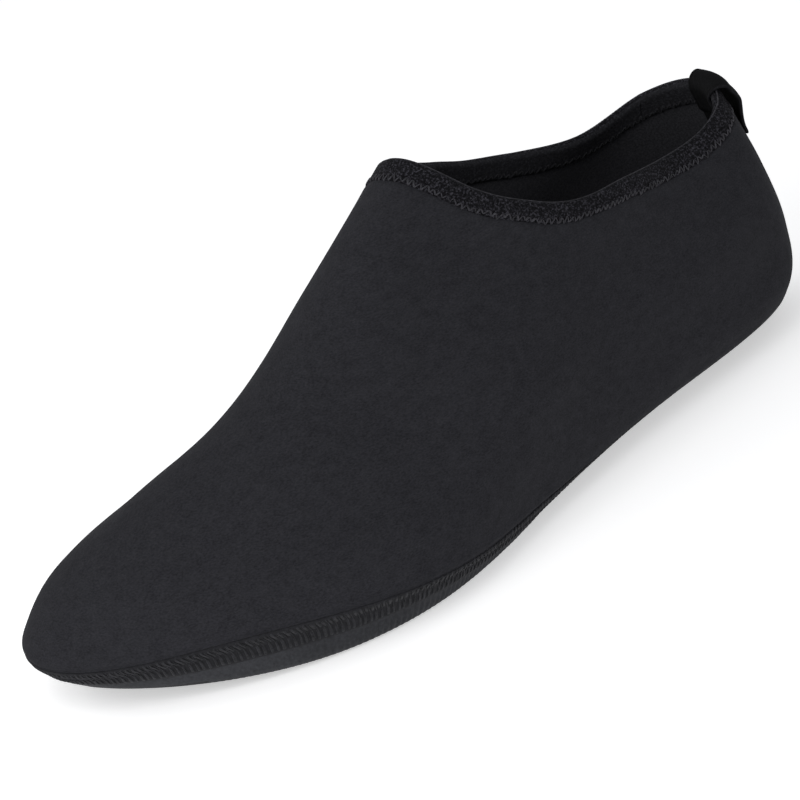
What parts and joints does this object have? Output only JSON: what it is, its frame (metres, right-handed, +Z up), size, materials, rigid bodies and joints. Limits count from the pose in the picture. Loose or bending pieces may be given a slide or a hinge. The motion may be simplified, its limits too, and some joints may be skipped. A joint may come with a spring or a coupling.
{
  "type": "water shoe",
  "caption": "Left slip-on water shoe: hollow stretch upper with bound collar and heel tab, sewn to a thin cupped sole, standing empty.",
  "frame": {"origin": "under the middle of the shoe's bounding box, on the floor that it stands on", "axes": "+X to the toe along the shoe's length, +Y to the wearer's left (the outer side of this left shoe), +Z up"},
  "size_m": [0.2618, 0.101, 0.0935],
  "materials": {
    "upper_fabric": "matte black stretch jersey over neoprene",
    "sole_rubber": "satin black ribbed rubber",
    "insole_fabric": "matte black cloth",
    "seam_thread": "black flat cross-stitched thread",
    "binding_fabric": "black knitted tape with zigzag stitching",
    "tab_fabric": "smooth black tape"
  },
  "bodies": {
    "root": {"upper": "upper_fabric", "outsole": "sole_rubber", "insole": "insole_fabric", "seam_band": "seam_thread", "collar_binding": "binding_fabric", "heel_pull_tab": "tab_fabric"}
  },
  "joints": []
}
